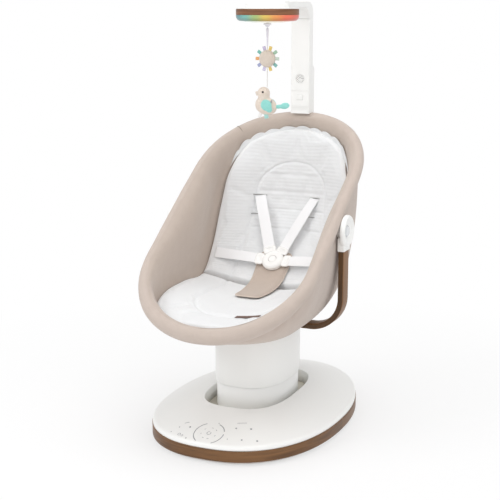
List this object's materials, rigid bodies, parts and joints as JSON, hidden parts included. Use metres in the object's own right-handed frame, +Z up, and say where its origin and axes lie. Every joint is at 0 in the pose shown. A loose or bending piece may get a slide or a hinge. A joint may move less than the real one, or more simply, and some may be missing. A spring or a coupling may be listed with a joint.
{
  "type": "baby swing",
  "caption": "Powered baby swing with an oval domed base, a rocking and lifting column, a swivelling fork, a padded reclining bucket seat with harness and a toy arm",
  "frame": {"origin": "on the floor under the middle of the bounding box", "axes": "+Z up, -Y towards the seat's front, where the feet of the child lie; +X is on the right when seen from the front"},
  "size_m": [0.428, 0.6457, 0.941],
  "materials": {
    "white_plastic": "satin moulded",
    "wood_finish": "satin walnut look",
    "beige_fabric": "plain woven, padded",
    "white_fabric": "soft knit, quilted lines",
    "webbing": "woven webbing",
    "steel": "bright",
    "tube_metal": "plain",
    "rubber": "matt",
    "nylon": "plain",
    "dark_plastic": "plain",
    "circuit_board": "coated",
    "lens": "frosted, lit in bands of colour",
    "grey_plastic": "satin",
    "string": "twisted string",
    "oatmeal_plush": "short plush",
    "cream_plush": "short plush",
    "mint_plush": "short plush"
  },
  "bodies": {
    "base": {"base_bottom_plate": "white_plastic", "foot_pad_front_left": "rubber", "foot_pad_front_right": "rubber", "foot_pad_rear_left": "rubber", "foot_pad_rear_right": "rubber", "base_wood_band": "wood_finish", "power_inlet": "dark_plastic", "base_top_shell": "white_plastic", "control_board": "circuit_board", "guide_rail_left": "steel", "guide_rail_right": "steel", "drive_motor": "steel"},
    "drive_gear": {"drive_pinion": "steel"},
    "carriage": {"carriage_plate": "nylon", "drive_rack": "nylon", "column_foot": "white_plastic", "lift_motor": "steel"},
    "lift_gear": {"lift_pinion": "steel"},
    "sleeve": {"column_sleeve": "white_plastic", "lift_rack": "nylon"},
    "turntable": {"swivel_head": "white_plastic", "yoke_arm_left": "wood_finish", "hub_housing_left": "white_plastic", "yoke_arm_right": "wood_finish", "hub_housing_right": "white_plastic"},
    "left_hub_button": {"hub_button_left": "white_plastic"},
    "right_hub_button": {"hub_button_right": "white_plastic"},
    "seat": {"rim_tube": "tube_metal", "rim_sleeve": "beige_fabric", "outer_cover": "beige_fabric", "inner_liner": "beige_fabric", "seat_pan": "nylon", "back_pad": "white_fabric", "seat_pad": "white_fabric", "pivot_plate_left": "steel", "pivot_plate_right": "steel", "crotch_pad": "beige_fabric", "buckle_body": "white_plastic", "shoulder_strap_left": "webbing", "waist_strap_left": "webbing", "shoulder_strap_right": "webbing", "waist_strap_right": "webbing", "arm_rear_housing": "white_plastic", "arm_front_shell": "white_plastic", "speaker_grille": "white_plastic", "head_top_cover": "white_plastic", "head_wood_band": "wood_finish", "light_ring": "lens", "head_bottom_cap": "white_plastic"},
    "buckle_release": {"buckle_button": "white_plastic"},
    "arm_release": {"arm_release_button": "white_plastic"},
    "hanger": {"hanger_knob": "grey_plastic"},
    "sun_toy": {"upper_string": "string", "sun": "oatmeal_plush"},
    "bird_toy": {"lower_string": "string", "bird_body": "cream_plush", "bird_head": "cream_plush", "bird_tail": "mint_plush"}
  },
  "joints": [
    {"name": "rock", "type": "slide", "parent": "base", "child": "carriage", "axis": [0, 1, 0], "range_m": [-0.03, 0.03]},
    {"name": "drive_spin", "type": "hinge", "parent": "base", "child": "drive_gear", "pos_m": [0, -0.00497, 0.038], "axis": [0, 0, 1], "range_deg": [-120, 120]},
    {"name": "bounce", "type": "slide", "parent": "carriage", "child": "sleeve", "axis": [0, 0, 1], "range_m": [-0.022, 0.012]},
    {"name": "lift_spin", "type": "hinge", "parent": "carriage", "child": "lift_gear", "pos_m": [0, 0.03503, 0.15], "axis": [1, 0, 0], "range_deg": [-88, 50]},
    {"name": "swivel", "type": "hinge", "parent": "sleeve", "child": "turntable", "pos_m": [0, -0.00497, 0.23], "axis": [0, 0, 1], "continuous": true},
    {"name": "hub_press_left", "type": "slide", "parent": "turntable", "child": "left_hub_button", "axis": [1, 0, 0], "range_m": [0, 0.0035], "stiffness_N_per_m": 600},
    {"name": "hub_press_right", "type": "slide", "parent": "turntable", "child": "right_hub_button", "axis": [1, 0, 0], "range_m": [-0.0035, 0], "stiffness_N_per_m": 600},
    {"name": "recline", "type": "hinge", "parent": "turntable", "child": "seat", "pos_m": [0, -0.00497, 0.456], "axis": [1, 0, 0], "range_deg": [-12, 0]},
    {"name": "buckle_press", "type": "slide", "parent": "seat", "child": "buckle_release", "axis": [0, 0.6559, -0.7549], "range_m": [0, 0.0025], "stiffness_N_per_m": 600},
    {"name": "arm_release_press", "type": "slide", "parent": "seat", "child": "arm_release", "axis": [0, 1, 0], "range_m": [0, 0.0025], "stiffness_N_per_m": 600},
    {"name": "toy_spin", "type": "hinge", "parent": "seat", "child": "hanger", "pos_m": [0, 0.04203, 0.89], "axis": [0, 0, 1], "continuous": true},
    {"name": "sun_swing", "type": "hinge", "parent": "hanger", "child": "sun_toy", "pos_m": [0, 0.04203, 0.885], "axis": [1, 0, 0], "range_deg": [-25, 25]},
    {"name": "bird_swing", "type": "hinge", "parent": "sun_toy", "child": "bird_toy", "pos_m": [0, 0.04203, 0.798], "axis": [0, 1, 0], "range_deg": [-20, 20]}
  ],
  "couplings": [
    {"joint": "drive_spin", "follows": "rock", "rad_per_m": -66.667},
    {"joint": "lift_spin", "follows": "bounce", "rad_per_m": 66.667}
  ]
}
